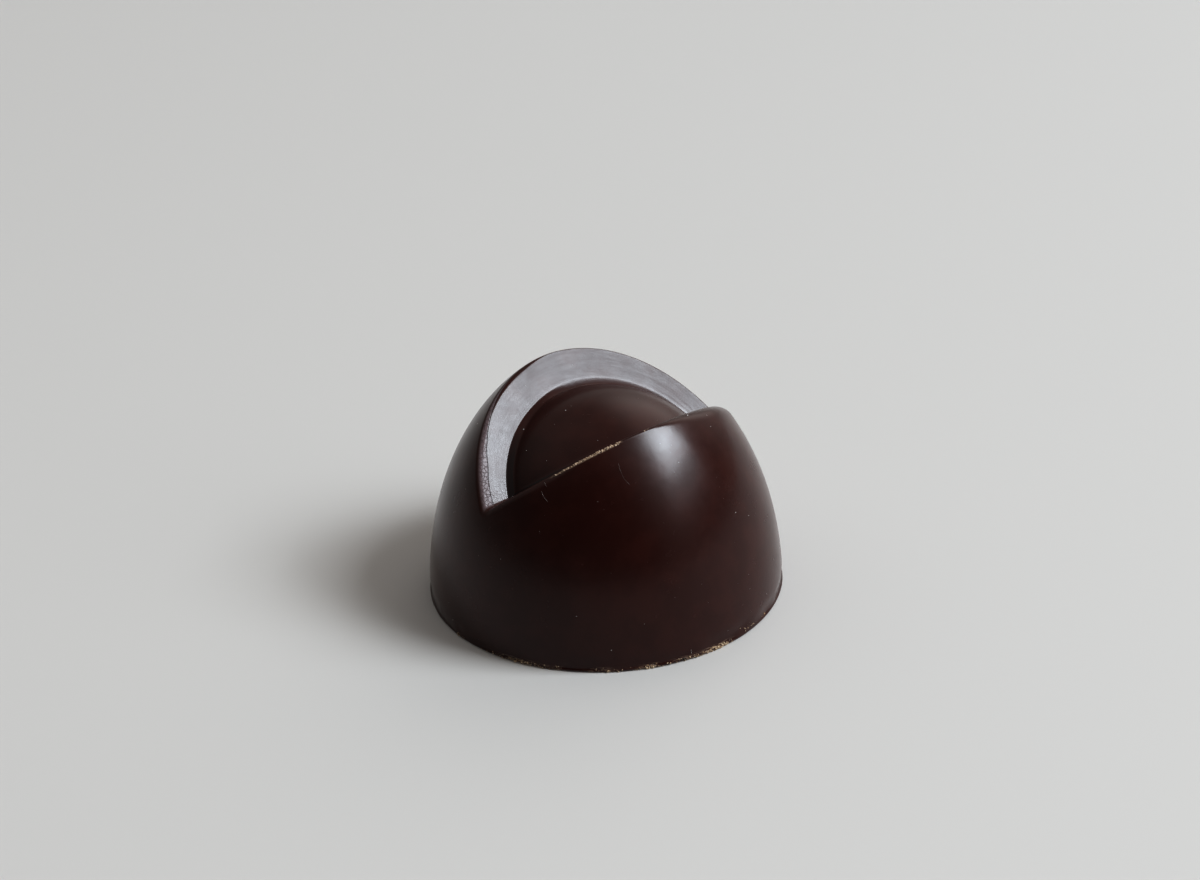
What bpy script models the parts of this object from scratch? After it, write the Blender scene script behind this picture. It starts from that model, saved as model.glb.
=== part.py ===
"""A dark chocolate praline, cast in one piece in a rigid mould.

The body is half an ellipsoid that stands on its flat side. A V-shaped notch is cut across its crown. The crown
of a smaller ball stands in the notch, and a cove runs round the ball where it meets the notch's two faces.

Frame: metres, +Z up, the origin at the middle of the flat base. The notch's fold line runs along X. Its back
face leans towards +Y and its front face towards -Y.
"""

import math

import bmesh
import bpy

# Driving dimensions
BASE_RADIUS = 0.0150
DOME_HEIGHT = 0.0214
BALL_RADIUS = 0.0109
BALL_HEIGHT = 0.0065
COVE_RADIUS = 0.0007

# The notch: its fold line's height and rounding, and how far its two faces lean from the vertical
FOLD_HEIGHT = 0.0115
FOLD_RADIUS = 0.0003
BACK_LEAN = math.radians(44.1)
FRONT_LEAN = math.radians(50.0)

# The foot is rounded a little, where the bottom was scraped level with the mould.
FOOT_RADIUS = 0.0002

# How finely the round shapes are divided
TURN_STEPS = 96
OUTLINE_STEPS = 28
FOOT_STEPS = 3
FOLD_STEPS = 4
COVE_STEPS = 6
BALL_SEGMENTS = 84
BALL_RINGS = 42

# The notch's cutter reaches this far past the dome, and a cove's disc this far below its face.
CUTTER_REACH = 1.7 * BASE_RADIUS
COVE_SKIRT = 0.0006
# A cove sinks this far into its face and into the ball, so that they cross instead of touching.
COVE_SINK = 0.00002

MERGE_DISTANCE = 0.00001

CHOCOLATE_COLOUR = (0.021, 0.010, 0.007, 1.0)
CHOCOLATE_ROUGHNESS = 0.22


def start_empty():
    """Remove whatever the scene holds."""
    for thing in list(bpy.data.objects):
        bpy.data.objects.remove(thing, do_unlink=True)


def new_collection(name):
    collection = bpy.data.collections.new(name)
    bpy.context.scene.collection.children.link(collection)
    return collection


def chocolate():
    """Dark chocolate with the gloss that a polished mould gives."""
    material = bpy.data.materials.new("dark_chocolate")
    material.use_nodes = True
    shader = material.node_tree.nodes["Principled BSDF"]
    shader.inputs["Base Color"].default_value = CHOCOLATE_COLOUR
    shader.inputs["Roughness"].default_value = CHOCOLATE_ROUGHNESS
    shader.inputs["Metallic"].default_value = 0.0
    return material


def arc(centre, radius, start, end, steps):
    """Points on a circle's arc, from the start angle to the end angle."""
    points = []
    for step in range(steps + 1):
        angle = start + (end - start) * step / steps
        points.append((centre[0] + radius * math.cos(angle), centre[1] + radius * math.sin(angle)))
    return points


def turned(name, outline, steps, collection):
    """A solid turned about its own Z axis from (radius, height) points that run down its outer side."""
    mesh = bpy.data.meshes.new(name)
    vertices = [(radius, 0.0, height) for radius, height in outline]
    edges = [(index, index + 1) for index in range(len(vertices) - 1)]
    mesh.from_pydata(vertices, edges, [])
    solid = bpy.data.objects.new(name, mesh)
    collection.objects.link(solid)
    screw = solid.modifiers.new("turn", "SCREW")
    screw.axis = "Z"
    screw.angle = math.tau
    screw.steps = steps
    screw.render_steps = steps
    screw.use_merge_vertices = True
    screw.merge_threshold = MERGE_DISTANCE
    return solid


def cut(solid, cutter):
    """Take the cutter's shape away from the solid."""
    boolean = solid.modifiers.new("cut_" + cutter.name, "BOOLEAN")
    boolean.operation = "DIFFERENCE"
    boolean.solver = "EXACT"
    boolean.object = cutter


def hide_as_cutter(thing):
    thing.hide_render = True
    thing.display_type = "WIRE"


def dome_outline():
    """The dome's outline from its apex down to its rounded foot, and in along the base to the axis."""
    outline = []
    foot_angle = math.asin(FOOT_RADIUS / DOME_HEIGHT)
    for step in range(OUTLINE_STEPS):
        angle = 0.5 * math.pi + (foot_angle - 0.5 * math.pi) * step / OUTLINE_STEPS
        outline.append((BASE_RADIUS * math.cos(angle), DOME_HEIGHT * math.sin(angle)))
    foot_centre = (BASE_RADIUS * math.cos(foot_angle) - FOOT_RADIUS, FOOT_RADIUS)
    outline += arc(foot_centre, FOOT_RADIUS, 0.0, -0.5 * math.pi, FOOT_STEPS)
    outline.append((0.0, 0.0))
    return outline


def notch_outline():
    """The notch's section across its fold line, as (Y, Z) points, with the fold rounded."""
    opening = BACK_LEAN + FRONT_LEAN
    middle = 0.5 * math.pi + 0.5 * (FRONT_LEAN - BACK_LEAN)
    depth = FOLD_RADIUS / math.sin(0.5 * opening)
    centre = (depth * math.cos(middle), FOLD_HEIGHT + depth * math.sin(middle))
    half_turn = 0.5 * (math.pi - opening)
    down = middle + math.pi
    outline = arc(centre, FOLD_RADIUS, down - half_turn, down + half_turn, FOLD_STEPS)
    for angle in (0.5 * math.pi - BACK_LEAN, 0.5 * math.pi + FRONT_LEAN):
        across = CUTTER_REACH * math.cos(angle)
        up = CUTTER_REACH * math.sin(angle)
        outline.append((across, FOLD_HEIGHT + up))
    return outline


def notch_cutter(collection):
    """The wedge that cuts the notch: the section's outline, extruded along X and made a mesh."""
    curve = bpy.data.curves.new("notch_section", "CURVE")
    curve.dimensions = "2D"
    curve.fill_mode = "BOTH"
    curve.extrude = CUTTER_REACH
    outline = notch_outline()
    spline = curve.splines.new("POLY")
    spline.points.add(len(outline) - 1)
    for point, (across, up) in zip(spline.points, outline):
        point.co = (across, up, 0.0, 1.0)
    spline.use_cyclic_u = True
    section = bpy.data.objects.new("notch_section", curve)
    section.rotation_euler = (0.5 * math.pi, 0.0, 0.5 * math.pi)
    collection.objects.link(section)
    bpy.context.view_layer.update()

    graph = bpy.context.evaluated_depsgraph_get()
    mesh = bpy.data.meshes.new_from_object(section.evaluated_get(graph))
    welded = bmesh.new()
    welded.from_mesh(mesh)
    bmesh.ops.remove_doubles(welded, verts=welded.verts, dist=MERGE_DISTANCE)
    bmesh.ops.recalc_face_normals(welded, faces=welded.faces)
    welded.to_mesh(mesh)
    welded.free()
    wedge = bpy.data.objects.new("notch", mesh)
    wedge.matrix_world = section.matrix_world
    collection.objects.link(wedge)
    bpy.data.objects.remove(section, do_unlink=True)
    return wedge


def ball(collection):
    """The ball, turned so that its poles stay inside the dome."""
    bpy.ops.mesh.primitive_uv_sphere_add(
        segments=BALL_SEGMENTS,
        ring_count=BALL_RINGS,
        radius=BALL_RADIUS,
        location=(0.0, 0.0, BALL_HEIGHT),
        rotation=(0.0, 0.5 * math.pi, 0.0),
    )
    solid = bpy.context.active_object
    solid.name = "ball"
    for holder in list(solid.users_collection):
        holder.objects.unlink(solid)
    collection.objects.link(solid)
    return solid


def cove(name, lean, side, collection):
    """A disc with a hollow edge, which rounds off the corner between the ball and one face of the notch.

    Its axis is the face's normal through the ball's centre. The side is 1 for the back face and -1 for the
    front face.
    """
    face = (FOLD_HEIGHT - BALL_HEIGHT) * math.sin(lean)
    centre_height = face + COVE_RADIUS - COVE_SINK
    reach = BALL_RADIUS + COVE_RADIUS - COVE_SINK
    centre_radius = math.sqrt(reach ** 2 - centre_height ** 2)
    ball_side = -math.pi + math.atan2(centre_height, centre_radius)
    hollow = arc((centre_radius, centre_height), COVE_RADIUS, ball_side, -0.5 * math.pi, COVE_STEPS)
    bottom = face - COVE_SKIRT
    outline = [(0.0, hollow[0][1])] + hollow + [(centre_radius, bottom), (0.0, bottom)]
    solid = turned(name, outline, BALL_SEGMENTS, collection)
    solid.location = (0.0, 0.0, BALL_HEIGHT)
    solid.rotation_euler = (side * (0.5 * math.pi - lean), 0.0, 0.0)
    return solid


def praline(parts, cutters):
    """The dome, less the part of the notch that the ball and its coves leave open."""
    wedge = notch_cutter(cutters)
    filling = [
        ball(cutters),
        cove("cove_back", BACK_LEAN, 1, cutters),
        cove("cove_front", FRONT_LEAN, -1, cutters),
    ]
    for piece in filling:
        cut(wedge, piece)
        hide_as_cutter(piece)
    hide_as_cutter(wedge)

    body = turned("praline", dome_outline(), TURN_STEPS, parts)
    cut(body, wedge)
    body.data.materials.append(chocolate())
    return body


start_empty()
praline(new_collection("chocolate_praline"), new_collection("cutters"))
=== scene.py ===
"""The looks of a moulded dark chocolate praline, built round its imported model.

Everything is in metres and in the model's own frame: +Z up, the notch's fold line along X, the notch's back
face towards +Y and its front face towards -Y.
"""

import math

import bpy
from mathutils import Matrix, Vector


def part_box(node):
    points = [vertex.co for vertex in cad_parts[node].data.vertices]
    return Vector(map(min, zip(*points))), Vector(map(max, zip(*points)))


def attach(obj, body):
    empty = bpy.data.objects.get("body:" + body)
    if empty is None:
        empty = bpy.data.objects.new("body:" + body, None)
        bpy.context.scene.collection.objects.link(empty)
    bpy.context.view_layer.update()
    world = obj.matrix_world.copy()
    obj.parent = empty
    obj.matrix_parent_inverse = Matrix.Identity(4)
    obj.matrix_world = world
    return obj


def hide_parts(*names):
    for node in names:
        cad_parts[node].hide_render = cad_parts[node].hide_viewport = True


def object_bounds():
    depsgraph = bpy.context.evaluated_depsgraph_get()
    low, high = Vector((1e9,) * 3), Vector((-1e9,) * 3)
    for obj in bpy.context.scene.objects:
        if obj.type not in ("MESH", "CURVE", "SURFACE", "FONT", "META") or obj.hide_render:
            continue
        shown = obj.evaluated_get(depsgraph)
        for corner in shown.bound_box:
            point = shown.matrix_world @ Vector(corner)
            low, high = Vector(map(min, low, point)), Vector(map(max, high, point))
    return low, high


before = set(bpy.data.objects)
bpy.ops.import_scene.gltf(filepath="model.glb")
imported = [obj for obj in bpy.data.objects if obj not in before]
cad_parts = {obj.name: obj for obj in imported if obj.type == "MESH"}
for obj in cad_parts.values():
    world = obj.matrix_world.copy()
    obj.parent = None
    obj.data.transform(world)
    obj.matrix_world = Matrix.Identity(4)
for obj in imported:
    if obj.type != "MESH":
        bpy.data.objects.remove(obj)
cad_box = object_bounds()

# ----------------------------------------------------------------------------------------------------------
# The body. Dark chocolate cast in one piece in a polished mould: half an ellipsoid on its flat side, with a
# V-shaped notch across its crown and the crown of a ball in the notch. Geometry Nodes bend a sheet of
# sections into shape, then press it onto the surface of the mould with all its roundings.

base_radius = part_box("praline")[1].x

mould = {
    "Base Radius": base_radius,
    "Dome Height": 1.427 * base_radius,
    "Ball Radius": 0.7267 * base_radius,
    "Ball Height": 0.4333 * base_radius,
    "Cove Width": 0.028 * base_radius,
    "Cove Widening": 0.75,
    "Cove Height": 0.027 * base_radius,
    "Cove Shallowing": 0.8,
    "Crease Rounding": 0.00006,
    "Fold Height": 0.767 * base_radius,
    "Fold Rounding": 0.00030,
    "Back Lean": math.radians(44.1),
    "Front Lean": math.radians(50.0),
    "Back Crest Rounding": 0.00004,
    "Front Crest Rounding": 0.00012,
    "Front Crest Wear": 0.00040,
    "Shoulder Rounding": 0.00115,
    "Crest Unevenness": 0.00012,
    "Foot Rounding": 0.00020,
    "Rim Strip Width": 0.00095,
    "Rim Strip Slope": math.tan(math.radians(8.0)),
    "Lip Height": 0.00022,
    "Lip Depth": 0.00012,
    "Wave Height": 0.00001,
    "Chip Depth": 0.00008,
}


class Field:
    """A value that a node tree works out at each point. Arithmetic on it adds Math nodes to the tree."""

    def __init__(self, tree, socket):
        self.tree = tree
        self.socket = socket

    def __add__(self, other):
        return calc("ADD", self, other)

    def __radd__(self, other):
        return calc("ADD", other, self)

    def __sub__(self, other):
        return calc("SUBTRACT", self, other)

    def __rsub__(self, other):
        return calc("SUBTRACT", other, self)

    def __mul__(self, other):
        return calc("MULTIPLY", self, other)

    def __rmul__(self, other):
        return calc("MULTIPLY", other, self)

    def __truediv__(self, other):
        return calc("DIVIDE", self, other)

    def __neg__(self):
        return calc("MULTIPLY", self, -1.0)


def calc(operation, *values):
    """A Math node on fields and plain numbers."""
    tree = next(value.tree for value in values if isinstance(value, Field))
    return Field(tree, add(tree, "ShaderNodeMath", *values, operation=operation).outputs[0])


def feed(tree, socket, value):
    """Link a field or a socket to an input, or set the input to a plain value."""
    if isinstance(value, Field):
        tree.links.new(value.socket, socket)
    elif isinstance(value, bpy.types.NodeSocket):
        tree.links.new(value, socket)
    else:
        socket.default_value = value


def add(tree, kind, *values, inputs=None, **settings):
    """Add a node with its settings. Values feed its first inputs in order, inputs feeds others by name."""
    node = tree.nodes.new(kind)
    for name, setting in settings.items():
        setattr(node, name, setting)
    for socket, value in zip(node.inputs, values):
        feed(tree, socket, value)
    for name, value in (inputs or {}).items():
        feed(tree, node.inputs[name], value)
    return node


def length(*values):
    """The square root of the sum of the squares."""
    squares = [value * value for value in values]
    return calc("SQRT", sum(squares[1:], squares[0]))


def ramp(value, start, end):
    """A smooth step from 0 at the start to 1 at the end."""
    steps = {"Value": value, "From Min": start, "From Max": end}
    node = add(value.tree, "ShaderNodeMapRange", inputs=steps, interpolation_type="SMOOTHSTEP")
    return Field(value.tree, node.outputs["Result"])


def share(value, start, end):
    """How far the value has gone from the start to the end, from 0 to 1."""
    return calc("MINIMUM", calc("MAXIMUM", (value - start) / (end - start), 0.0), 1.0)


def grain(tree, position, size, detail=2.0):
    """Noise from 0 to 1 whose lumps are about as large as the size given."""
    inputs = {"Vector": position, "Scale": 1.0 / size, "Detail": detail}
    node = add(tree, "ShaderNodeTexNoise", inputs=inputs, noise_dimensions="3D")
    return Field(tree, node.outputs[0])


def split(tree, vector):
    """The three parts of a vector."""
    parts = add(tree, "ShaderNodeSeparateXYZ", vector).outputs
    return [Field(tree, part) for part in parts]


def join(tree, *parts):
    """A vector made of its three parts."""
    return add(tree, "ShaderNodeCombineXYZ", *parts).outputs[0]


def rounded_edge(first, second, radius):
    """The distance to what two solids share, with its edge rounded."""
    inner = calc("MINIMUM", calc("MAXIMUM", first, second), -radius)
    first_part = calc("MAXIMUM", first + radius, 0.0)
    second_part = calc("MAXIMUM", second + radius, 0.0)
    return inner + length(first_part, second_part)


def rounded_corner(first, second, radius):
    """The distance to two joined solids, with the corner between them filled in."""
    return -rounded_edge(-first, -second, radius)


def hump(value, middle, half_width):
    """A smooth hump of height 1 over the middle."""
    return ramp(value, middle - half_width, middle) * ramp(value, middle + half_width, middle)


def in_front(y):
    """1 in front of the fold line, and 0 behind it."""
    return ramp(y, 0.0, -0.001)


def knocks(tree, position):
    """Where the front crest was knocked: all along one stretch, and at nicks away from its end."""
    x, y, _ = split(tree, position)
    stretch = ramp(x, -0.0095, -0.0088) * ramp(x, -0.0039, -0.0045)
    away_from_end = ramp(calc("ABSOLUTE", x + 0.0102), 0.0012, 0.0020)
    nicks = ramp(grain(tree, position, 0.0009), 0.60, 0.70) * away_from_end * 0.45
    return calc("MAXIMUM", stretch, nicks) * in_front(y)


def scrapes(tree, position):
    """Where the foot was scraped: a long streak in front, short ones beside it, and patches elsewhere."""
    x, y, _ = split(tree, position)
    streaks = 0.0
    for middle, half_width, crumbling in (
        (-0.0010, 0.0024, 1.0),
        (-0.0038, 0.0020, 0.35),
        (-0.0068, 0.0011, 0.6),
        (-0.0100, 0.0014, 0.3),
        (-0.0138, 0.0012, 0.6),
    ):
        streaks = streaks + hump(x, middle, half_width) * crumbling
    patches = ramp(grain(tree, position, 0.0024), 0.56, 0.70) * 0.4
    return calc("MAXIMUM", streaks * in_front(y), patches)


def cove_change(x):
    """How far the cove has changed from narrow and steep, on the side of -X, to wide and shallow."""
    return ramp(x, -0.0040, 0.0010)


def strip_width_at(tree, position, widest):
    """The width of the strip along the back face's outer edge: widest at the fold, on the side of -X."""
    x, _, z = split(tree, position)
    width = widest * ramp(z, 0.0195, 0.0115) * ramp(x, -0.001, -0.005)
    return width * (0.85 + 0.3 * grain(tree, position, 0.0015))


def new_tree(name, sizes):
    """A node group with one named input for each size, and its fields by name."""
    tree = bpy.data.node_groups.new(name, "GeometryNodeTree")
    for size, value in sizes.items():
        socket = tree.interface.new_socket(size, in_out="INPUT", socket_type="NodeSocketFloat")
        socket.default_value = value
    given = add(tree, "NodeGroupInput").outputs
    return tree, {size: Field(tree, given[size]) for size in sizes}


def new_maker(name, sizes):
    """A tree that makes a mesh, with a named input for each size and one for the material."""
    tree, size = new_tree(name, sizes)
    tree.interface.new_socket("Material", in_out="INPUT", socket_type="NodeSocketMaterial")
    tree.interface.new_socket("Geometry", in_out="OUTPUT", socket_type="NodeSocketGeometry")
    return tree, size


def end_maker(tree, geometry):
    """End the tree: real geometry, in its material."""
    real = add(tree, "GeometryNodeRealizeInstances", geometry)
    material = tree.nodes["Group Input"].outputs["Material"]
    coat = add(tree, "GeometryNodeSetMaterial", real.outputs[0], inputs={"Material": material})
    feed(tree, add(tree, "NodeGroupOutput").inputs["Geometry"], coat.outputs[0])


def mould_surface(sizes):
    """A node group: how far a point lies outside the praline, and how far from its dome, notch and ball."""
    tree, size = new_tree("mould_surface", sizes)
    for name in ("Distance", "Dome", "Notch", "Ball"):
        tree.interface.new_socket(name, in_out="OUTPUT", socket_type="NodeSocketFloat")
    tree.interface.new_socket("Position", in_out="INPUT", socket_type="NodeSocketVector")
    position = add(tree, "NodeGroupInput").outputs["Position"]
    x, y, z = split(tree, position)

    wide, tall = size["Base Radius"], size["Dome Height"]
    reach = length(x / wide, y / wide, z / tall)
    slope = length(x / wide / wide, y / wide / wide, z / tall / tall)
    dome = reach * (reach - 1.0) / slope

    rise = z - size["Fold Height"]
    back = rise * calc("SINE", size["Back Lean"]) - y * calc("COSINE", size["Back Lean"])
    front = rise * calc("SINE", size["Front Lean"]) + y * calc("COSINE", size["Front Lean"])
    ball = length(x, y, z - size["Ball Height"]) - size["Ball Radius"]
    faces = rounded_corner(back, front, size["Fold Rounding"])

    # The cove curves up from the faces and meets the ball at a crease.
    change = cove_change(x)
    up_cove = share(ball, size["Cove Width"] * (1.0 + size["Cove Widening"] * change), 0.0)
    cove = size["Cove Height"] * (1.0 - size["Cove Shallowing"] * change) * up_cove * up_cove
    notch = rounded_corner(faces - cove, ball, size["Crease Rounding"])

    # Where the casting stuck to the mould, a strip along the back face's outer edge slopes away.
    strip_width = strip_width_at(tree, position, size["Rim Strip Width"])
    strip = calc("MAXIMUM", strip_width + dome, 0.0) * size["Rim Strip Slope"] * ramp(y, 0.0, 0.0003)

    # The front crest is sharp where it was knocked, is worn rounder from there towards -X, and swells into a
    # round shoulder towards +X. The back crest is sharp, and a little less so towards -X.
    shoulder = ramp(x / wide, -0.20, 0.35)
    front_crest = size["Front Crest Rounding"] + size["Front Crest Wear"] * ramp(x, -0.0055, -0.0100)
    front_crest = front_crest + (size["Shoulder Rounding"] - front_crest) * shoulder
    back_crest = size["Back Crest Rounding"] * (1.0 + 8.0 * ramp(x, 0.001, -0.003))
    at_back = ramp(y, -0.0005, 0.0005)
    uneven = (grain(tree, position, 0.0012) - 0.5) * size["Crest Unevenness"] * (1.0 - 0.8 * at_back)
    crest = front_crest + (back_crest - front_crest) * at_back + uneven
    foot = size["Foot Rounding"] * (0.3 + 1.6 * grain(tree, position, 0.0022))

    body = rounded_edge(rounded_edge(dome, notch + strip, crest), -z, foot)
    waves = (grain(tree, position, 0.005) - 0.5) * size["Wave Height"] * ramp(z, 0.0, 0.002)

    # A thin lip runs round most of the foot, and the front crest is chipped where it was knocked.
    above_lip = ramp(z, size["Lip Height"], size["Lip Height"] + 0.0001) * ramp(z, 0.0018, 0.0004)
    lip = size["Lip Depth"] * above_lip * ramp(grain(tree, position, 0.0045), 0.38, 0.62)
    at_crest = hump(dome - notch, 0.0, 0.0004)
    chips = ramp(grain(tree, position, 0.0005), 0.45, 0.65) * at_crest * knocks(tree, position)
    chips = chips * size["Chip Depth"]
    results = add(tree, "NodeGroupOutput").inputs
    feed(tree, results["Distance"], body + waves + lip + chips)
    feed(tree, results["Dome"], dome)
    feed(tree, results["Notch"], notch)
    feed(tree, results["Ball"], ball)
    return tree


def casting(sizes, columns, base_rows, dome_rows, notch_rows):
    """Geometry Nodes that make the body: a sheet of sections, pressed onto the mould's surface."""
    tree, size = new_maker("praline_casting", sizes)
    rows = base_rows + dome_rows + notch_rows
    base_end = base_rows / rows
    dome_end = (base_rows + dome_rows) / rows
    sheet = add(tree, "GeometryNodeMeshGrid", 1.0, 1.0, columns + 1, rows + 1)

    # Across the sheet runs the turn about +Z. Along it runs the section: out along the base, up the dome to
    # the crest, and in across the notch to the top of the ball. The points crowd together at the fold, the
    # foot and the crest.
    fold_crowding = 0.25
    dome_crowding = 0.85
    notch_crowding = 0.80
    here = add(tree, "GeometryNodeInputPosition").outputs[0]
    across, along, _ = split(tree, here)
    turn = (across + 0.5) * math.tau
    turn = turn - fold_crowding * calc("SINE", 2.0 * turn)
    along = along + 0.5
    base_step = share(along, 0.0, base_end)
    base_step = 1.0 - (1.0 - base_step) * (1.0 - base_step)
    dome_step = share(along, base_end, dome_end)
    dome_step = dome_step - calc("SINE", dome_step * math.tau) * (dome_crowding / math.tau)
    notch_step = share(along, dome_end, 1.0)
    in_notch = calc("GREATER_THAN", notch_step, 0.0)
    notch_step = notch_step - calc("SINE", notch_step * math.pi) * (notch_crowding / math.pi)

    sideways = calc("SINE", turn)
    at_back = calc("GREATER_THAN", sideways, 0.0)
    lean = size["Front Lean"] + (size["Back Lean"] - size["Front Lean"]) * at_back
    climb = calc("ABSOLUTE", sideways) / calc("TANGENT", lean)
    climb_across = size["Base Radius"] * climb
    crest_reach = length(size["Dome Height"], climb_across)
    crest_angle = calc("ARCTAN2", climb_across, size["Dome Height"])
    crest_angle = crest_angle + calc("ARCSINE", size["Fold Height"] / crest_reach)
    dome_angle = crest_angle * dome_step

    radius = size["Base Radius"] * base_step * calc("COSINE", dome_angle) * (1.0 - notch_step)
    dome_height = size["Dome Height"] * calc("SINE", dome_angle)
    under_ball = calc("MAXIMUM", size["Ball Radius"] * size["Ball Radius"] - radius * radius, 0.0)
    face_height = size["Fold Height"] + radius * climb
    notch_height = calc("MAXIMUM", face_height, size["Ball Height"] + calc("SQRT", under_ball))
    height = dome_height + (notch_height - dome_height) * in_notch
    bent = join(tree, radius * calc("COSINE", turn), radius * sideways, height)
    bend = add(tree, "GeometryNodeSetPosition", sheet.outputs["Mesh"], inputs={"Position": bent})

    # Each round moves every point to where the distance to the surface, along its steepest way, runs out.
    surface = mould_surface(sizes)
    rounds = 6
    probe = 0.00001
    press_in = add(tree, "GeometryNodeRepeatInput", inputs={"Iterations": rounds})
    press_out = add(tree, "GeometryNodeRepeatOutput")
    press_in.pair_with_output(press_out)
    feed(tree, press_in.inputs["Geometry"], bend.outputs[0])
    distances = []
    for offset in ((0.0, 0.0, 0.0), (probe, 0.0, 0.0), (0.0, probe, 0.0), (0.0, 0.0, probe)):
        point = add(tree, "ShaderNodeVectorMath", here, offset, operation="ADD").outputs[0]
        group = add(tree, "GeometryNodeGroup", node_tree=surface, inputs={"Position": point, **size})
        distances.append(Field(tree, group.outputs["Distance"]))
    near = distances[0]
    slopes = [(far - near) / probe for far in distances[1:]]
    steepness = length(*slopes)
    step = join(tree, *[-near * slope / (steepness * steepness) for slope in slopes])
    press = add(tree, "GeometryNodeSetPosition", press_in.outputs["Geometry"], inputs={"Offset": step})
    feed(tree, press_out.inputs["Geometry"], press.outputs[0])

    # The sheet's two sides and its two ends meet, and are welded there. The mesh then holds how far each
    # point lies from the dome, the notch and the ball, for the material.
    pressed = press_out.outputs["Geometry"]
    weld = 0.0000002
    closed = add(tree, "GeometryNodeMergeByDistance", pressed, inputs={"Distance": weld})
    shape = closed.outputs[0]
    final = add(tree, "GeometryNodeGroup", node_tree=surface, inputs={"Position": here, **size})
    for name in ("Dome", "Notch", "Ball"):
        attribute = {"Name": name.lower(), "Value": final.outputs[name]}
        store = add(tree, "GeometryNodeStoreNamedAttribute", shape, inputs=attribute, data_type="FLOAT")
        shape = store.outputs[0]
    smooth = add(tree, "GeometryNodeSetShadeSmooth", shape)
    end_maker(tree, smooth.outputs[0])
    return tree


def made_by(name, tree, inputs):
    """A plain mesh object, as the tree makes it from the inputs given by name."""
    maker = bpy.data.objects.new(name, bpy.data.meshes.new(name))
    bpy.context.scene.collection.objects.link(maker)
    modifier = maker.modifiers.new("maker", "NODES")
    modifier.node_group = tree
    for item in tree.interface.items_tree:
        if item.in_out == "INPUT" and item.name in inputs:
            modifier[item.identifier] = inputs[item.name]
    graph = bpy.context.evaluated_depsgraph_get()
    mesh = bpy.data.meshes.new_from_object(maker.evaluated_get(graph))
    maker.modifiers.remove(modifier)
    maker.data = mesh
    return maker


def mix(amount, first, second):
    """A colour that goes from the first to the second as the amount goes from 0 to 1."""
    # The node has sockets for each kind of value. These are its factor and its two colours.
    node = add(amount.tree, "ShaderNodeMix", data_type="RGBA")
    for place, value in ((0, amount), (6, first), (7, second)):
        feed(amount.tree, node.inputs[place], value)
    return node.outputs[2]


def stored(tree, name):
    """A number that the mesh holds at each point."""
    return Field(tree, add(tree, "ShaderNodeAttribute", attribute_name=name).outputs["Fac"])


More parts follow.
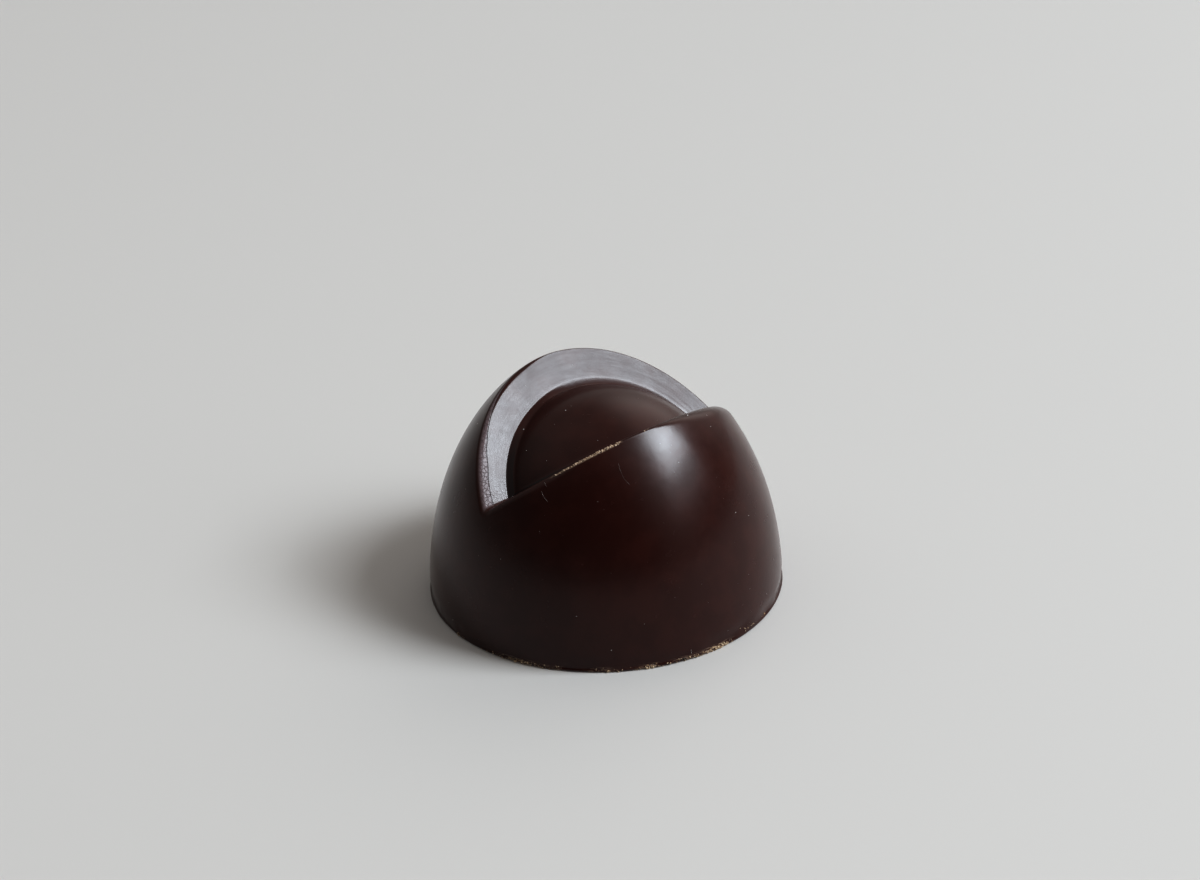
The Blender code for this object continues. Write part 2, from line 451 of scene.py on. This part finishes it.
def chocolate():
    """Dark chocolate: a mould's gloss under a thin haze, with tan scuffs where its edges were knocked."""
    material = bpy.data.materials.new("dark_chocolate")
    material.use_nodes = True
    tree = material.node_tree
    shader = tree.nodes["Principled BSDF"]
    shader.inputs["IOR"].default_value = 1.36
    shader.inputs["Coat Weight"].default_value = 0.8
    shader.inputs["Coat IOR"].default_value = 1.34
    shader.inputs["Coat Roughness"].default_value = 0.35

    position = add(tree, "ShaderNodeTexCoord").outputs["Object"]
    x, y, z = split(tree, position)
    dome, notch, ball = stored(tree, "dome"), stored(tree, "notch"), stored(tree, "ball")

    # Where each surface lies: the notch's flat faces, the strip along the back one's outer edge, the cove
    # round the ball, and both crests.
    at_notch = ramp(notch, -0.0003, -0.0001)
    cove_width = mould["Cove Width"] * (1.0 + mould["Cove Widening"] * cove_change(x))
    face = at_notch * ramp(ball / cove_width, 0.8, 1.2)
    back = ramp(y, 0.0, 0.0003)
    strip_width = strip_width_at(tree, position, mould["Rim Strip Width"])
    strip = face * back * ramp(strip_width + dome, -0.00003, 0.00003)
    cove = at_notch * ramp(ball / cove_width, 1.0, 0.7) * ramp(ball, 0.00001, 0.00005)
    from_edge = calc("MAXIMUM", calc("ABSOLUTE", dome), calc("ABSOLUTE", notch))
    edge = ramp(from_edge, 0.00028, 0.00009)

    # The front crest is scuffed to a tan line with short teeth, and so is the foot in places. A small pit
    # among the foot's scuffs is not cut into the mesh: its shade is painted in as a dark spot.
    teeth = grain(tree, position, 0.00016, detail=3.0)
    crest_scuff = edge * knocks(tree, position) * ramp(teeth, 0.34, 0.50)
    flakes = grain(tree, join(tree, x / 0.0007, y / 0.0007, z / 0.00008), 1.0)
    foot = ramp(z, 0.00065, 0.00020) * ramp(notch, -0.001, -0.002)
    foot_scuff = foot * scrapes(tree, position) * ramp(flakes, 0.48, 0.56)
    scuff = calc("MAXIMUM", crest_scuff, foot_scuff)
    painted_pit = ramp(length((x + 0.0041) / 0.00026, (z - 0.00022) / 0.00009), 1.1, 0.8) * in_front(y)

    # Broad sweeps and fine arcs from the mould's turning run round the faces. The strip is crackled and a
    # dark line runs along it, and the back face is rough beside the fold.
    arcs = grain(tree, join(tree, ball / 0.00011, x / 0.0030, y / 0.0030), 1.0)
    sweeps = grain(tree, join(tree, ball / 0.0006, x / 0.0040, y / 0.0040), 1.0)
    crackle = {"Vector": position, "Scale": 1.0 / 0.00035}
    crackle = add(tree, "ShaderNodeTexVoronoi", inputs=crackle, feature="DISTANCE_TO_EDGE")
    cracks = ramp(Field(tree, crackle.outputs["Distance"]), 0.10, 0.0) * strip
    rim_line = ramp(calc("ABSOLUTE", strip_width + dome), 0.00005, 0.0) * ramp(strip_width, 0.0, 0.0002)
    rim_line = rim_line * face * back
    by_fold = face * back * ramp(z, 0.0132, 0.0122) * ramp(x, -0.004, -0.008)
    pocks = by_fold * ramp(grain(tree, position, 0.00022, detail=3.0), 0.42, 0.62)

    # Deep brown under a patchy bloom of cocoa butter, greyer on the strip, and painted shade in the cove's
    # left end.
    deep_brown = (0.037, 0.0060, 0.0033, 1.0)
    bloomed_brown = (0.058, 0.0128, 0.0082, 1.0)
    strip_grey = (0.200, 0.150, 0.155, 1.0)
    cove_painted_shade = (0.006, 0.0015, 0.0018, 1.0)
    crack_dark = (0.010, 0.005, 0.005, 1.0)
    scuff_tan = (0.52, 0.395, 0.285, 1.0)
    pit_painted_shade = (0.004, 0.002, 0.002, 1.0)
    bloom = ramp(grain(tree, position, 0.0024, detail=3.0), 0.38, 0.66)
    colour = mix(bloom * 0.45, deep_brown, bloomed_brown)
    colour = mix(strip * 0.85, colour, strip_grey)
    # Painted shade darkens the left end of the cove, the recess beside the ball.
    colour = mix(cove * ramp(x, -0.0050, -0.0085) * 0.8, colour, cove_painted_shade)
    colour = mix(calc("MAXIMUM", rim_line, cracks * 0.6) * 0.8, colour, crack_dark)
    colour = mix(scuff, colour, scuff_tan)
    # Painted shade: the pit is a dark spot in the colour, not a hollow in the mesh.
    colour = mix(painted_pit, colour, pit_painted_shade)
    feed(tree, shader.inputs["Base Color"], colour)

    # The gloss is cloudy and mottled. It is duller on the faces, the strip, the scuffs and the underside.
    mould_gloss = 0.228
    cloud = grain(tree, position, 0.0028, detail=3.0) - 0.5
    mottle = grain(tree, position, 0.0006) - 0.5
    roughness = mould_gloss + 0.20 * cloud + 0.12 * mottle
    roughness = roughness + face * (0.03 + 0.060 * ramp(x, -0.0095, -0.0010) + 0.10 * (arcs - 0.5))
    roughness = roughness + strip * 0.08 - cove * 0.05 + calc("MAXIMUM", scuff, painted_pit) * 0.45
    roughness = roughness + 0.25 * ramp(z, 0.0001, 0.0)
    feed(tree, shader.inputs["Roughness"], roughness)

    # Faint ripples lie all over, with the tool marks on the faces and the broken surface of the scuffs.
    relief = grain(tree, position, 0.0009) * 0.0000045 + grain(tree, position, 0.00022) * 0.0000005
    relief = relief + face * (arcs * 0.0000008 + sweeps * 0.000020) + scuff * teeth * 0.00004
    relief = relief + strip * grain(tree, position, 0.0003) * 0.000007 + pocks * 0.000005
    relief = relief - cracks * 0.000010 - rim_line * 0.000012
    bump = add(tree, "ShaderNodeBump", inputs={"Height": relief, "Strength": 1.0, "Distance": 1.0})
    feed(tree, shader.inputs["Normal"], bump.outputs["Normal"])
    feed(tree, shader.inputs["Coat Normal"], bump.outputs["Normal"])
    return material


dark_chocolate = chocolate()
cast = casting(mould, columns=448, base_rows=14, dome_rows=72, notch_rows=90)
body = made_by("praline_body", cast, {**mould, "Material": dark_chocolate})
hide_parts("praline")
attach(body, "root")

# ----------------------------------------------------------------------------------------------------------
# The crumbs. Knocks broke the front crest and scrapes broke the foot into tan crumbs of chocolate, pale
# with loose cocoa butter, which cling to the edges that they came from.


def held(tree, name):
    """A number that the body's mesh holds at each point, in Geometry Nodes."""
    node = add(tree, "GeometryNodeInputNamedAttribute", name, data_type="FLOAT")
    return Field(tree, node.outputs["Attribute"])


def chance(tree, seed):
    """A random number from 0 to 1 for each bit."""
    # The node has sockets for each kind of value. Output 1 is the number, whose limits are 0 and 1.
    node = add(tree, "FunctionNodeRandomValue", inputs={"Seed": seed}, data_type="FLOAT")
    return Field(tree, node.outputs[1])


def chances(tree, lowest, highest, seed):
    """Three random numbers for each bit, as a vector."""
    limits = [(lowest,) * 3, (highest,) * 3]
    node = add(tree, "FunctionNodeRandomValue", *limits, inputs={"Seed": seed}, data_type="FLOAT_VECTOR")
    return node.outputs[0]


def sprinkling(name, where, sizes, seed):
    """Geometry Nodes that sprinkle small bits on the body, as thickly as where() says at each point."""
    tree, size = new_maker(name, sizes)
    tree.interface.new_socket("Body", in_out="INPUT", socket_type="NodeSocketObject")
    praline = tree.nodes["Group Input"].outputs["Body"]
    surface = add(tree, "GeometryNodeObjectInfo", praline).outputs["Geometry"]
    position = add(tree, "GeometryNodeInputPosition").outputs[0]
    density = where(tree, position) * size["Bits per Area"]
    spread = {"Mesh": surface, "Density": density, "Seed": seed}
    spots = add(tree, "GeometryNodeDistributePointsOnFaces", inputs=spread)

    # Small bits are commoner than large ones, and each is an uneven lump of twenty faces.
    luck = chance(tree, seed + 1)
    radius = size["Smallest"] + (size["Largest"] - size["Smallest"]) * luck * luck * luck
    stretch = chances(tree, 0.5, 1.3, seed + 2)
    scaled = add(tree, "ShaderNodeVectorMath", stretch, inputs={"Scale": radius}, operation="SCALE")
    turn = chances(tree, 0.0, math.tau, seed + 3)
    lump = add(tree, "GeometryNodeMeshIcoSphere", inputs={"Radius": 1.0, "Subdivisions": 1})
    placed = {"Points": spots.outputs["Points"], "Instance": lump.outputs["Mesh"]}
    shaped = {"Rotation": turn, "Scale": scaled.outputs[0]}
    bits = add(tree, "GeometryNodeInstanceOnPoints", inputs={**placed, **shaped})
    real = add(tree, "GeometryNodeRealizeInstances", bits.outputs[0])

    # No bit reaches below the floor or past the body's sides.
    low, high = (tuple(corner) for corner in cad_box)
    inside = add(tree, "ShaderNodeVectorMath", position, low, operation="MAXIMUM").outputs[0]
    inside = add(tree, "ShaderNodeVectorMath", inside, high, operation="MINIMUM").outputs[0]
    kept = add(tree, "GeometryNodeSetPosition", real.outputs[0], inputs={"Position": inside})
    end_maker(tree, kept.outputs[0])
    return tree


def sprinkle(name, where, sizes, material, seed):
    """A piece of small bits that lie on the body, as thickly as where() says at each point."""
    return made_by(name, sprinkling(name, where, sizes, seed), {"Body": body, "Material": material})


def dry(name, dark, pale, patch):
    """A dull, dry material that runs from dark to pale in patches."""
    material = bpy.data.materials.new(name)
    material.use_nodes = True
    tree = material.node_tree
    shader = tree.nodes["Principled BSDF"]
    shader.inputs["Roughness"].default_value = 0.75
    position = add(tree, "ShaderNodeTexCoord").outputs["Object"]
    patches = ramp(grain(tree, position, patch), 0.35, 0.65)
    feed(tree, shader.inputs["Base Color"], mix(patches, dark, pale))
    return material


def along_crest(tree, position):
    """Where crumbs cling to the front crest: close to its edge, where it was knocked."""
    from_dome = calc("ABSOLUTE", held(tree, "dome"))
    from_notch = calc("ABSOLUTE", held(tree, "notch"))
    from_edge = calc("MAXIMUM", from_dome, from_notch)
    return ramp(from_edge, 0.00020, 0.00010) * knocks(tree, position)


def along_foot(tree, position):
    """Where crumbs cling to the foot: low down where it was scraped, and in one splash above it."""
    x, y, z = split(tree, position)
    low = ramp(z, 0.00045, 0.00025) * calc("GREATER_THAN", z, 0.00002) * scrapes(tree, position)
    splash = hump(x, 0.0030, 0.0014) * hump(z, 0.0006, 0.0005) * in_front(y) * 0.12
    return calc("MAXIMUM", low, splash)


crest_tan = dry("crest_tan", (0.30, 0.185, 0.115, 1.0), (0.70, 0.575, 0.46, 1.0), 0.00012)
foot_tan = dry("foot_tan", (0.30, 0.18, 0.10, 1.0), (0.70, 0.57, 0.42, 1.0), 0.00012)
crest_sizes = {"Bits per Area": 3.5e8, "Smallest": 0.000014, "Largest": 0.000100}
crest_crumbs = sprinkle("crest_crumbs", along_crest, crest_sizes, crest_tan, seed=5)
foot_sizes = {"Bits per Area": 2.2e8, "Smallest": 0.000012, "Largest": 0.000100}
foot_crumbs = sprinkle("foot_crumbs", along_foot, foot_sizes, foot_tan, seed=9)
for crumbs in (crest_crumbs, foot_crumbs):
    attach(crumbs, "root")

# ----------------------------------------------------------------------------------------------------------
# The dust. Pale specks of sugar and lint that drifted down onto the praline. They lie loose on the gloss, in
# thicker and thinner drifts.


def in_drifts(tree, position):
    """Where dust lies: in drifts all over the body, above its foot."""
    _, _, z = split(tree, position)
    drifts = 0.3 + 0.7 * ramp(grain(tree, position, 0.004), 0.45, 0.65)
    return drifts * calc("GREATER_THAN", z, 0.0005)


speck_grey = dry("speck_grey", (0.30, 0.27, 0.25, 1.0), (0.75, 0.72, 0.70, 1.0), 0.004)
dust_sizes = {"Bits per Area": 1.6e5, "Smallest": 0.000008, "Largest": 0.000045}
dust = sprinkle("dust", in_drifts, dust_sizes, speck_grey, seed=21)
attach(dust, "root")

# ----------------------------------------------------------------------------------------------------------
# The lint. Short fibres of fluff and the largest specks of dust, which stick to the chocolate. Each is made
# as a thin tube that bends along three points on the surface.

millimetre = 0.001
fibres = {
    "hair": ((-10.21, -4.56, 14.27), (-10.39, -4.98, 14.03), (-10.25, -5.32, 13.66), 0.007),
    "hair_end": ((-9.71, -4.25, 14.87), (-9.88, -4.68, 14.83), (-9.83, -4.76, 14.66), 0.006),
    "curl": ((-5.12, -8.25, 16.34), (-5.44, -8.89, 15.48), (-5.10, -9.50, 14.90), 0.004),
    "foot_hair": ((-3.39, -14.60, 0.56), (-3.50, -14.69, 0.78), (-3.46, -14.62, 0.98), 0.010),
}
specks = {
    "cove_speck": ((-5.62, 3.22, 15.33), 0.045),
    "ball_speck": ((-2.93, 0.92, 16.97), 0.040),
    "ball_fleck": ((-7.09, 1.09, 14.70), 0.025),
    "crest_speck": ((2.89, -7.66, 17.57), 0.045),
    "shoulder_speck": ((4.55, -8.61, 16.29), 0.028),
    "gloss_speck": ((-0.54, -10.33, 15.52), 0.022),
    "front_speck": ((3.43, -12.70, 10.31), 0.035),
    "front_fleck": ((5.02, -12.53, 9.34), 0.025),
}
speck_half_length = 0.03
speck_bulge = 0.02
for name, ((x, y, z), thickness) in specks.items():
    start = (x - speck_half_length, y, z)
    middle = (x, y - speck_bulge, z + speck_bulge)
    end = (x + speck_half_length, y, z)
    fibres[name] = (start, middle, end, thickness)


def lint(fibres):
    """Geometry Nodes that lay each fibre as a bent tube."""
    tree, _ = new_maker("lint", {})
    for name in fibres:
        for point in ("Start", "Middle", "End"):
            tree.interface.new_socket(f"{name} {point}", in_out="INPUT", socket_type="NodeSocketVector")
        tree.interface.new_socket(f"{name} Thickness", in_out="INPUT", socket_type="NodeSocketFloat")
    given = tree.nodes["Group Input"].outputs
    all_fibres = add(tree, "GeometryNodeJoinGeometry")
    for name in fibres:
        points = {point: given[f"{name} {point}"] for point in ("Start", "Middle", "End")}
        bend = add(tree, "GeometryNodeCurveQuadraticBezier", inputs={"Resolution": 8, **points})
        section = add(tree, "GeometryNodeCurvePrimitiveCircle", inputs={"Resolution": 6})
        feed(tree, section.inputs["Radius"], given[f"{name} Thickness"])
        swept = {"Curve": bend.outputs[0], "Profile Curve": section.outputs[0], "Fill Caps": True}
        tube = add(tree, "GeometryNodeCurveToMesh", inputs=swept)
        feed(tree, all_fibres.inputs[0], tube.outputs[0])
    end_maker(tree, all_fibres.outputs[0])
    return tree


lint_grey = dry("lint_grey", (0.40, 0.36, 0.34, 1.0), (0.80, 0.78, 0.76, 1.0), 0.003)
laid = {"Material": lint_grey}
for name, (start, middle, end, thickness) in fibres.items():
    for point, place in (("Start", start), ("Middle", middle), ("End", end)):
        laid[f"{name} {point}"] = [millimetre * part for part in place]
    laid[f"{name} Thickness"] = millimetre * thickness
fibre_lint = made_by("lint", lint(fibres), laid)
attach(fibre_lint, "root")

# ----------------------------------------------------------------------------------------------------------
# The floor: a plain pale sheet of card that the praline stands on. It glows a little, which is painted light:
# the glow lightens the praline's shadow, though the floor is no lamp.

floor_mesh = bpy.data.meshes.new("floor")
floor_half = 3.0
floor_height = cad_box[0].z
sides = [(-1.0, -1.0), (1.0, -1.0), (1.0, 1.0), (-1.0, 1.0)]
corners = [(floor_half * x, floor_half * y, floor_height) for x, y in sides]
floor_mesh.from_pydata(corners, [], [(0, 1, 2, 3)])
floor = bpy.data.objects.new("floor", floor_mesh)
bpy.context.scene.collection.objects.link(floor)
pale = bpy.data.materials.new("pale_floor")
pale.use_nodes = True
card = pale.node_tree.nodes["Principled BSDF"]
card.inputs["Base Color"].default_value = (0.535, 0.511, 0.493, 1.0)
card.inputs["Roughness"].default_value = 0.7
# The emission is painted light that lightens the shadow on the floor.
card.inputs["Emission Color"].default_value = (1.0, 0.98, 0.96, 1.0)
card.inputs["Emission Strength"].default_value = 0.07
floor_mesh.materials.append(pale)

# ----------------------------------------------------------------------------------------------------------
# The camera and the light. The camera looks down on the praline from the front, on the side of -X. A soft
# window stands high to the camera's right.

camera_turn = math.radians(-39.71)
camera_rise = math.radians(28.80)
camera_roll = math.radians(-2.16)
camera_distance = 17.975 * base_radius
looked_at = Vector((0.0, 0.0, 0.5 * base_radius))
back_to_camera = Vector((
    math.sin(camera_turn) * math.cos(camera_rise),
    -math.cos(camera_turn) * math.cos(camera_rise),
    math.sin(camera_rise),
))
camera_right = Vector((math.cos(camera_turn), math.sin(camera_turn), 0.0))
camera_away = Vector((-math.sin(camera_turn), math.cos(camera_turn), 0.0))
camera_up = back_to_camera.cross(camera_right)
aim_above = 0.00530
aim_left = 0.00009
aim = looked_at + camera_up * aim_above - camera_right * aim_left

camera = bpy.data.objects.new("camera", bpy.data.cameras.new("camera"))
camera.data.sensor_width = 36.0
camera.data.lens = 96.08
camera.data.clip_start = 0.01
camera.location = looked_at + back_to_camera * camera_distance
facing = (camera.location - aim).to_track_quat("Z", "Y").to_matrix()
camera.rotation_euler = (facing @ Matrix.Rotation(camera_roll, 3, "Z")).to_euler()
bpy.context.scene.collection.objects.link(camera)
bpy.context.scene.camera = camera


def direction_to(bearing, rise):
    """The direction at a bearing from the camera's right, turning away from it, and a rise above level."""
    bearing, rise = math.radians(bearing), math.radians(rise)
    level = camera_right * math.cos(bearing) + camera_away * math.sin(bearing)
    return level * math.cos(rise) + Vector((0.0, 0.0, math.sin(rise)))


window_distance = 1.6
daylight = (0.86, 0.94, 1.0)


def soft_light(name, bearing, rise, size, radiance):
    """A rectangle of daylight that faces the praline from the window."""
    direction = direction_to(bearing, rise)
    lamp = bpy.data.lights.new(name, "AREA")
    lamp.shape = "RECTANGLE"
    lamp.size, lamp.size_y = size
    lamp.energy = radiance * math.pi * size[0] * size[1]
    lamp.color = daylight
    light = bpy.data.objects.new(name, lamp)
    light.location = looked_at + direction * window_distance
    light.rotation_euler = direction.to_track_quat("Z", "Y").to_euler()
    bpy.context.scene.collection.objects.link(light)


soft_light("window", -10.0, 49.0, (0.68, 0.44), radiance=22.0)
soft_light("window_foot", -12.0, 37.0, (0.80, 0.32), radiance=15.0)
soft_light("window_glow", -16.0, 32.0, (1.10, 0.80), radiance=1.8)

# The room is dark where the camera stands and grows brighter towards its far side. It has soft bright
# patches: one high on the left, three on the far side, and two round the window.
world = bpy.data.worlds.new("room")
world.use_nodes = True
room = world.node_tree
looking = add(room, "ShaderNodeTexCoord").outputs["Generated"]


def towards(bearing, rise):
    """How nearly a look into the room goes in the direction given, from -1 to 1."""
    direction = tuple(direction_to(bearing, rise))
    nearness = add(room, "ShaderNodeVectorMath", looking, direction, operation="DOT_PRODUCT")
    return Field(room, nearness.outputs["Value"])


brightness = 0.065 + 0.29 * ramp(towards(105.0, 0.0), -0.6, 0.9)
for bearing, rise, strength, edge in (
    (180.0, 70.0, 0.40, 0.65),
    (50.0, 34.0, 1.00, 0.80),
    (85.0, 15.0, 0.15, 0.85),
    (64.0, 30.0, 0.35, 0.90),
    (-30.0, 27.0, 0.60, 0.86),
    (-50.0, 58.0, 0.60, 0.92),
):
    brightness = brightness + strength * ramp(towards(bearing, rise), edge, 1.0)
feed(room, room.nodes["Background"].inputs["Strength"], brightness)
room.nodes["Background"].inputs["Color"].default_value = (1.0, 0.98, 0.95, 1.0)
bpy.context.scene.world = world

# The exposure is a touch darker than plain, and the gamma deepens the shadows.
view = bpy.context.scene.view_settings
view.view_transform = "Standard"
view.exposure = -0.12
view.gamma = 0.667
